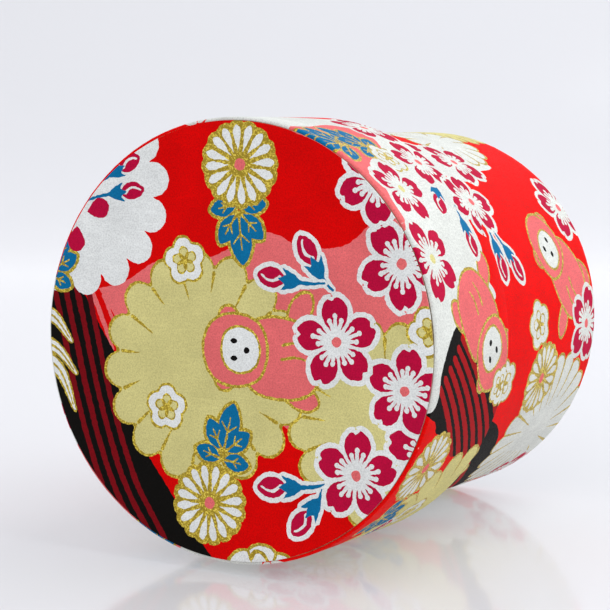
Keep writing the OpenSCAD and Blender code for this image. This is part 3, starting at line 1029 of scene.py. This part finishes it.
def newShapeTree(name, inputs):
    tree = bpy.data.node_groups.new(name, "GeometryNodeTree")
    tree.interface.new_socket(name="Geometry", in_out="INPUT", socket_type="NodeSocketGeometry")
    sockets = {}
    for label, kind, value in inputs:
        socket = tree.interface.new_socket(name=label, in_out="INPUT", socket_type=kind)
        if value is not None:
            socket.default_value = value
        sockets[label] = socket.identifier
    tree.interface.new_socket(name="Geometry", in_out="OUTPUT", socket_type="NodeSocketGeometry")
    return tree, sockets, addNode(tree, "NodeGroupInput").outputs, addNode(tree, "NodeGroupOutput").inputs


def finishTree(tree, geometry, material, out):
    whole = addNode(tree, "GeometryNodeRealizeInstances", {0: geometry}).outputs[0]
    clad = addNode(tree, "GeometryNodeSetMaterial", {"Geometry": whole, "Material": material})
    tree.links.new(clad.outputs[0], out[0])


# turns the profile it is given (radius on x, height on z) round the axis
def makeTurnedShell():
    tree, sockets, given, out = newShapeTree("turnedShell", [
        ("Segments", "NodeSocketInt", 128), ("Weld", "NodeSocketFloat", 0.000002),
        ("Material", "NodeSocketMaterial", None)])
    profile = given["Geometry"]
    size = addNode(tree, "GeometryNodeAttributeDomainSize", {0: profile}).outputs["Point Count"]
    columns = calc(tree, "ADD", given["Segments"], 1)
    sheet = {"Size X": 1.0, "Size Y": 1.0, "Vertices X": columns, "Vertices Y": size}
    grid = addNode(tree, "GeometryNodeMeshGrid", sheet).outputs[0]
    index = addNode(tree, "GeometryNodeInputIndex").outputs[0]
    column = calc(tree, "FLOOR", calc(tree, "DIVIDE", calc(tree, "ADD", index, 0.5), size))
    row = calc(tree, "SUBTRACT", index, calc(tree, "MULTIPLY", column, size))
    place = addNode(tree, "GeometryNodeInputPosition").outputs[0]
    at = addNode(tree, "GeometryNodeSampleIndex", data_type="FLOAT_VECTOR")
    for key, value in (("Geometry", profile), ("Value", place), ("Index", row)):
        tree.links.new(value, at.inputs[key])
    radius, _, height = addNode(tree, "ShaderNodeSeparateXYZ", {0: at.outputs[0]}).outputs
    angle = calc(tree, "MULTIPLY", calc(tree, "DIVIDE", column, given["Segments"]), twoPi)
    x = calc(tree, "MULTIPLY", radius, calc(tree, "COSINE", angle))
    y = calc(tree, "MULTIPLY", radius, calc(tree, "SINE", angle))
    point = addNode(tree, "ShaderNodeCombineXYZ", {0: x, 1: y, 2: height}).outputs[0]
    moved = addNode(tree, "GeometryNodeSetPosition", {"Geometry": grid, "Position": point}).outputs[0]
    welded = {"Geometry": moved, "Distance": given["Weld"]}
    finishTree(tree, addNode(tree, "GeometryNodeMergeByDistance", welded).outputs[0], given["Material"],
               out)
    return tree, sockets


# draws paper in at its corners, pleat by pleat, where it turns over a round edge
def makePleatedEdge():
    tree, sockets, given, out = newShapeTree("pleatedEdge", [
        ("Pleats", "NodeSocketInt", 60), ("Depth", "NodeSocketFloat", 0.00015),
        ("Top edge", "NodeSocketFloat", 0.08), ("Bottom edge", "NodeSocketFloat", 0.0),
        ("Reach", "NodeSocketFloat", 0.002), ("Seed", "NodeSocketFloat", 3.0),
        ("Inner radius", "NodeSocketFloat", 0.03), ("Material", "NodeSocketMaterial", None)])
    place = addNode(tree, "GeometryNodeInputPosition").outputs[0]
    parts = addNode(tree, "ShaderNodeSeparateXYZ", {0: place}).outputs
    angle = calc(tree, "ARCTAN2", parts[1], parts[0])
    ring = addNode(tree, "ShaderNodeCombineXYZ", {0: calc(tree, "COSINE", angle),
                                                 1: calc(tree, "SINE", angle), 2: given["Seed"]}).outputs[0]
    drift = addNode(tree, "ShaderNodeTexNoise", {"Vector": ring, "Scale": 4.0, "Detail": 3.0}).outputs[0]
    phase = calc(tree, "ADD", calc(tree, "MULTIPLY", angle, calc(tree, "MULTIPLY", given["Pleats"], 0.5)),
                 calc(tree, "MULTIPLY", drift, 9.0))
    fold = calc(tree, "SUBTRACT", 1.0, calc(tree, "ABSOLUTE", calc(tree, "SINE", phase)))
    depth = calc(tree, "MULTIPLY", calc(tree, "MULTIPLY", fold, drift), given["Depth"])
    masks = []
    for name in ("Top edge", "Bottom edge"):
        gap = calc(tree, "ABSOLUTE", calc(tree, "SUBTRACT", parts[2], given[name]))
        near = calc(tree, "SUBTRACT", 1.0, calc(tree, "DIVIDE", gap, given["Reach"]), clamp=True)
        masks.append(calc(tree, "MULTIPLY", near, near))
    mask = calc(tree, "MAXIMUM", masks[0], masks[1])
    square = calc(tree, "ADD", calc(tree, "MULTIPLY", parts[0], parts[0]),
                  calc(tree, "MULTIPLY", parts[1], parts[1]))
    radius = calc(tree, "SQRT", square)
    outer = calc(tree, "GREATER_THAN", radius, given["Inner radius"])
    share = calc(tree, "MULTIPLY", calc(tree, "DIVIDE", calc(tree, "MULTIPLY", depth, mask), radius),
                 calc(tree, "MULTIPLY", outer, -1.0))
    shift = addNode(tree, "ShaderNodeCombineXYZ", {0: calc(tree, "MULTIPLY", parts[0], share),
                                                  1: calc(tree, "MULTIPLY", parts[1], share),
                                                  2: 0.0}).outputs[0]
    moved = addNode(tree, "GeometryNodeSetPosition",
                    {"Geometry": given["Geometry"], "Offset": shift}).outputs[0]
    finishTree(tree, moved, given["Material"], out)
    return tree, sockets


turnedShell = makeTurnedShell()
pleatedEdge = makePleatedEdge()


def applyTree(piece, made, values):
    tree, sockets = made
    modifier = piece.modifiers.new(tree.name, "NODES")
    modifier.node_group = tree
    for label, value in values.items():
        modifier[sockets[label]] = value
    piece.update_tag()
    bpy.context.view_layer.update()
    ready = piece.evaluated_get(bpy.context.evaluated_depsgraph_get())
    mesh = bpy.data.meshes.new_from_object(ready)
    piece.modifiers.remove(modifier)
    old = piece.data
    piece.data = mesh
    bpy.data.meshes.remove(old)
    mesh.name = piece.name
    return piece


def turnOutwards(mesh, sharpFrom):
    shape = bmesh.new()
    shape.from_mesh(mesh)
    bmesh.ops.dissolve_degenerate(shape, dist=1e-7, edges=shape.edges)
    bmesh.ops.recalc_face_normals(shape, faces=shape.faces)
    shape.to_mesh(mesh)
    shape.free()
    mesh.shade_smooth()
    mesh.set_sharp_from_angle(angle=math.radians(sharpFrom))


def turnProfile(name, points, material, segments):
    # points are radius and height in millimetres; a closed profile repeats its first point
    profile = bpy.data.meshes.new(name + "Profile")
    links = [(i, i + 1) for i in range(len(points) - 1)]
    profile.from_pydata([(r * mm, 0.0, z * mm) for r, z in points], links, [])
    piece = bpy.data.objects.new(name, profile)
    scene.collection.objects.link(piece)
    applyTree(piece, turnedShell, {"Segments": segments, "Material": material})
    turnOutwards(piece.data, 32)
    return piece


pleats = {"Pleats": 58, "Depth": 0.12 * mm, "Reach": 2.2 * mm, "Material": washiWrap}
for piece, top, foot, seed, inner in ((lidWrap, lidPaperTop, lidFoot, 3.0, lidBoreR + 1.5),
                                      (bodyWrap, bodyTop, bodyFoot, 8.0, linerR + 1.0)):
    applyTree(piece, pleatedEdge, {**pleats, "Top edge": top * mm, "Bottom edge": foot * mm,
                                   "Seed": seed, "Inner radius": inner * mm})
print("sheets folded and pleated")


def makeMetal(name, look):
    material, tree, surface = newMaterial(name)
    grain = useGroup(tree, spunGrain, Rings=look["rings"], Scratches=look["scratches"],
                     Clouds=look["clouds"])
    tone = blendColour(tree, ramp(tree, grain.outputs["Tone"], 0.35, 0.65), colour(look["light"]),
                       colour(look["dark"]))
    lined = blendColour(tree, calc(tree, "MULTIPLY", grain.outputs["Scratch"], 0.35), tone,
                        colour(look["scratch"]))
    tree.links.new(lined, surface.inputs["Base Color"])
    surface.inputs["Metallic"].default_value = 1.0
    rings = ramp(tree, grain.outputs["Height"], 0.3, 0.7, look["smooth"], look["dull"])
    clouded = calc(tree, "ADD", rings, ramp(tree, grain.outputs["Tone"], 0.35, 0.65, -0.05, 0.08))
    tree.links.new(clouded, surface.inputs["Roughness"])
    high = calc(tree, "SUBTRACT", grain.outputs["Height"],
                calc(tree, "MULTIPLY", grain.outputs["Scratch"], 0.5))
    bump = addNode(tree, "ShaderNodeBump", {"Strength": look["bump"], "Distance": 0.00008, "Height": high})
    tree.links.new(bump.outputs[0], surface.inputs["Normal"])
    surface.inputs["Coat Weight"].default_value = look["lacquer"]
    surface.inputs["Coat Roughness"].default_value = 0.12
    return material


def makePaper(name, look):
    material, tree, surface = newMaterial(name)
    grain = useGroup(tree, paperGrain, Tooth=look["tooth"], Fibres=look["fibres"], Patches=look["patches"])
    tone = blendColour(tree, ramp(tree, grain.outputs["Tone"], 0.3, 0.7), colour(look["light"]),
                       colour(look["dark"]))
    flecked = blendColour(tree, calc(tree, "MULTIPLY", grain.outputs["Fibre"], look["fleck"]), tone,
                          colour(look["fibre"]))
    speckle = blendColour(tree, ramp(tree, grain.outputs["Height"], 0.35, 0.65, 0.0, look["speckle"]),
                          flecked, colour(look["dark"]))
    place = addNode(tree, "ShaderNodeTexCoord").outputs["Object"]
    axes = addNode(tree, "ShaderNodeSeparateXYZ", {0: place}).outputs
    laid = calc(tree, "SINE", calc(tree, "MULTIPLY", axes[2], look["laid"]))
    lined = blendColour(tree, ramp(tree, laid, 0.2, 1.0, 0.0, look["line"]), speckle, colour(look["dark"]))
    tree.links.new(lined, surface.inputs["Base Color"])
    tree.links.new(ramp(tree, grain.outputs["Height"], 0.3, 0.7, 0.62, 0.85), surface.inputs["Roughness"])
    high = calc(tree, "ADD", grain.outputs["Height"], calc(tree, "MULTIPLY", laid, look["line"]))
    bump = addNode(tree, "ShaderNodeBump", {"Strength": 0.35, "Distance": 0.00012, "Height": high})
    tree.links.new(bump.outputs[0], surface.inputs["Normal"])
    surface.inputs["Specular IOR Level"].default_value = 0.25
    return material


metalLooks = {
    "tinplate": {"rings": 6500.0, "scratches": 300.0, "clouds": 130.0, "light": "d9dbdd", "dark": "b9bdc2",
                 "scratch": "f2f3f4", "smooth": 0.25, "dull": 0.33, "bump": 0.05, "lacquer": 0.0},
    "tinplateLid": {"rings": 2600.0, "scratches": 240.0, "clouds": 120.0, "light": "dfe1e3",
                    "dark": "c2c6ca", "scratch": "f6f7f7", "smooth": 0.2, "dull": 0.34, "bump": 0.2,
                    "lacquer": 0.0},
    "knobBrass": {"rings": 3600.0, "scratches": 420.0, "clouds": 300.0, "light": "d9b25a", "dark": "b8893a",
                  "scratch": "f0d48a", "smooth": 0.16, "dull": 0.3, "bump": 0.15, "lacquer": 0.3},
    "washerSteel": {"rings": 2400.0, "scratches": 500.0, "clouds": 500.0, "light": "b9bcc0",
                    "dark": "8f9398", "scratch": "e0e2e4", "smooth": 0.28, "dull": 0.45, "bump": 0.2,
                    "lacquer": 0.0},
}
paperLooks = {
    "board": {"tooth": 2200.0, "fibres": 520.0, "patches": 160.0, "light": "b79f78", "dark": "8d7450",
              "fibre": "e0d2b4", "fleck": 0.5, "speckle": 0.4, "laid": 18000.0, "line": 0.12},
    "liningPaper": {"tooth": 2600.0, "fibres": 620.0, "patches": 90.0, "light": "f1ebdb", "dark": "d9cdb2",
                    "fibre": "fffdf4", "fleck": 0.6, "speckle": 0.25, "laid": 7500.0, "line": 0.1},
    "basePaper": {"tooth": 3000.0, "fibres": 560.0, "patches": 110.0, "light": "35302c", "dark": "1b1715",
                  "fibre": "7a6e60", "fleck": 0.55, "speckle": 0.4, "laid": 7500.0, "line": 0.05},
}
finishes = {name: makeMetal(name, look) for name, look in metalLooks.items()}
finishes.update({name: makePaper(name, look) for name, look in paperLooks.items()})
print("materials ready")


tin = {"thickness": 0.3, "bare": 0.28}
dish = {
    "holeR": 1.36, "stampR": 11.5, "stampRise": 0.4, "stampWidth": 0.9,
    "bandR": 25.5, "bandRise": 0.35, "bandSlope": 1.8, "bandEnd": 31.2, "bandFall": 1.6,
    "lipWidth": 2.0, "bendR": 1.35, "rimBend": 0.45, "curlR": 0.35, "skin": 0.29,
    "segments": 160,
}


def sectionOf(path, thickness):
    # a closed section round a centre line, its ends rounded
    line = np.array([complex(*p) for p in path])
    along = np.gradient(line)
    side = 1j * along / np.abs(along) * thickness / 2
    tip = [line[-1] + side[-1] * np.exp(-1j * a) for a in (0.8, 1.57, 2.34)]
    tail = [line[0] - side[0] * np.exp(-1j * a) for a in (0.8, 1.57, 2.34)]
    loop = np.concatenate((line + side, tip, (line - side)[::-1], tail))
    loop = np.append(loop, loop[0])
    return [(p.real, p.imag) for p in loop]


def arc(r, z, radius, fromAngle, toAngle, steps):
    turns = np.radians(np.linspace(fromAngle, toAngle, steps))
    return [(r + radius * math.cos(a), z + radius * math.sin(a)) for a in turns]


def makeDish():
    low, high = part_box("inner_lid_dish")
    half = tin["thickness"] / 2
    wallR = high.x / mm - dish["lipWidth"] - half
    foot = low.z / mm + half
    floorEnd = wallR - dish["bendR"]
    floorRuns = ((dish["holeR"], 9, 8), (9.4, 13.6, 22), (15, 24, 8), (24.4, 26.6, 14),
                 (27.5, floorEnd - 0.2, 8))
    path = []
    for r in np.concatenate([np.linspace(*floorRun) for floorRun in floorRuns]):
        stamp = dish["stampRise"] * math.exp(-((r - dish["stampR"]) / dish["stampWidth"]) ** 2)
        step = np.clip((r - dish["bandR"] + dish["bandSlope"] / 2) / dish["bandSlope"], 0, 1)
        fall = 1 - np.clip((r - dish["bandEnd"]) / dish["bandFall"], 0, 1)
        band = dish["bandRise"] * step * step * (3 - 2 * step) * fall * fall * (3 - 2 * fall)
        path.append((r, foot + stamp + band))
    path += arc(floorEnd, foot + dish["bendR"], dish["bendR"], -90, 0, 9)
    rim = high.z / mm - half
    path += arc(wallR + dish["rimBend"], rim - dish["rimBend"], dish["rimBend"], 180, 90, 7)
    path += arc(high.x / mm - dish["curlR"] - half, rim - dish["curlR"], dish["curlR"], 90, -200, 26)
    return turnProfile("innerLidDish", sectionOf(path, dish["skin"]), finishes["tinplateLid"],
                       dish["segments"])


knob = {
    "rivetHole": 1.2, "rivetDepth": 3.0, "footR": 4.1, "capZ": 3.4, "rimR": 1.0, "dome": 0.85,
    "neck": ((3.6, 0.7), (3.25, 0.95), (3.05, 1.3), (3.0, 1.8), (3.0, 2.4), (3.15, 2.9), (3.6, 3.25),
             (4.4, 3.4)),
    "grooves": ((5.1, 0.22, 0.16), (2.4, 0.14, 0.14)),      # radius, depth, width
    "segments": 96,
}


def makeKnob():
    low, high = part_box("inner_lid_knob")
    z, wide, top = low.z / mm, high.x / mm, high.z / mm
    edge = wide - knob["rimR"]
    profile = [(0, z + knob["rivetDepth"]), (knob["rivetHole"], z + knob["rivetDepth"]),
               (knob["rivetHole"], z), (knob["footR"], z)]
    profile += arc(knob["footR"] - 0.1, z + 0.25, 0.2, -30, 80, 4)
    profile += [(r, z + rise) for r, rise in knob["neck"]] + [(edge, z + knob["capZ"])]
    profile += arc(edge, z + knob["capZ"] + knob["rimR"], knob["rimR"], -80, 60, 12)
    for r in np.linspace(wide - 0.75, 0, 46):
        groove = sum(deep * math.exp(-((r - at) / broad) ** 2) for at, deep, broad in knob["grooves"])
        profile.append((r, top - knob["dome"] * (r / edge) ** 2 - groove))
    return turnProfile("innerLidKnob", profile, finishes["knobBrass"], knob["segments"])


liner = {"beadZ": 8.0, "beadHigh": 2.4, "beadDeep": 0.28, "plainTo": 3.0, "plainFrom": 14.0,
         "shoulder": 1.2, "flare": 0.15, "turnOut": 0.3, "segments": 160}


def makeLiner():
    low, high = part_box("liner_wall")
    half = tin["thickness"] / 2
    wallR = linerR - half
    foot, lip, lipR = low.z / mm, high.z / mm - half, high.x / mm - half
    path = [(wallR, z) for z in np.linspace(foot + half, foot + liner["plainTo"], 4)]
    # a shallow bead rolled into the tin stiffens it above the floor
    path += [(wallR - liner["beadDeep"] * math.sin(math.pi * t) ** 2,
              foot + liner["beadZ"] + liner["beadHigh"] * t) for t in np.linspace(0, 1, 13)]
    path += [(wallR, z) for z in np.linspace(foot + liner["plainFrom"], lip - liner["shoulder"], 12)]
    turn = liner["turnOut"]
    path += [(wallR + liner["flare"] * t * t, lip - turn * (1 - t)) for t in (0.0, 0.5)]
    path += [(wallR + turn, lip)] + [(r, lip) for r in np.linspace(wallR + 2 * turn, lipR, 5)]
    return turnProfile("linerWall", sectionOf(path, tin["bare"]), finishes["tinplate"], liner["segments"])


# the liner is rolled from a strip: one end is soldered over the other, inside
seam = {"at": 135.0, "halfWidth": 4.2, "proud": 0.14, "sunk": 0.08, "edge": 0.005,
        "fromFoot": 11.5, "fromTop": 10.0, "rows": 24, "steps": 8}


def makeLinerSeam():
    inner = linerR - tin["thickness"]
    foot, head = footOf("liner_wall") + seam["fromFoot"], topOf("liner_wall") - seam["fromTop"]
    rows, steps = seam["rows"], seam["steps"]
    verts, faces = [], []
    for z in np.linspace(foot, head, rows):
        for share in np.linspace(-1, 1, steps + 1):
            a = math.radians(seam["at"] + seam["halfWidth"] * share)
            proud = seam["proud"] * (1 - share ** 4)
            for r in (inner - proud + seam["edge"], inner + seam["sunk"]):
                verts.append((r * math.cos(a) * mm, r * math.sin(a) * mm, z * mm))
    row = 2 * (steps + 1)
    for j in range(rows - 1):
        for k in range(steps):
            a = j * row + 2 * k
            faces += [(a, a + 2, a + row + 2, a + row), (a + 1, a + row + 1, a + row + 3, a + 3)]
        a = j * row
        b = a + 2 * steps
        faces += [(a, a + row, a + row + 1, a + 1), (b, b + 1, b + row + 1, b + row)]
    for k in range(steps):
        a, b = 2 * k, (rows - 1) * row + 2 * k
        faces += [(a, a + 1, a + 3, a + 2), (b, b + 2, b + 3, b + 1)]
    mesh = bpy.data.meshes.new("linerSeam")
    mesh.from_pydata(verts, [], faces)
    turnOutwards(mesh, 40)
    mesh.materials.append(finishes["washerSteel"])
    piece = bpy.data.objects.new("linerSeam", mesh)
    scene.collection.objects.link(piece)
    return piece


turned = [
    (makeDish(), "inner_lid", "inner_lid_dish", "tinplate_lid"),
    (makeKnob(), "inner_lid", "inner_lid_knob", "knob_brass"),
    (makeLiner(), "caddy_body", "liner_wall", "tinplate"),
    (makeLinerSeam(), "caddy_body", None, "tinplate"),
]
print("tin and brass turned")

nodeFinish = {
    "liner_floor": "tinplate", "knob_washer": "washerSteel", "knob_rivet": "washerSteel",
    "body_tube": "board", "body_base_board": "board", "lid_tube": "board", "lid_top_board": "board",
    "lid_side_lining": "liningPaper", "lid_top_lining": "liningPaper", "body_base_paper": "basePaper",
}
for node, finish in nodeFinish.items():
    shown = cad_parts[node]
    if not shown.material_slots:
        shown.data.materials.append(finishes[finish])
    for place in shown.material_slots:
        place.material = finishes[finish]

for piece, body, node, slotName in (
        (lidDisc, "outer_lid", "lid_top_paper", "washi_disc"),
        (lidWrap, "outer_lid", "lid_wrap_paper", "washi"),
        (bodyWrap, "caddy_body", "body_wrap_paper", "washi"), *turned):
    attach(piece, body)
    if node:
        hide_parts(node)
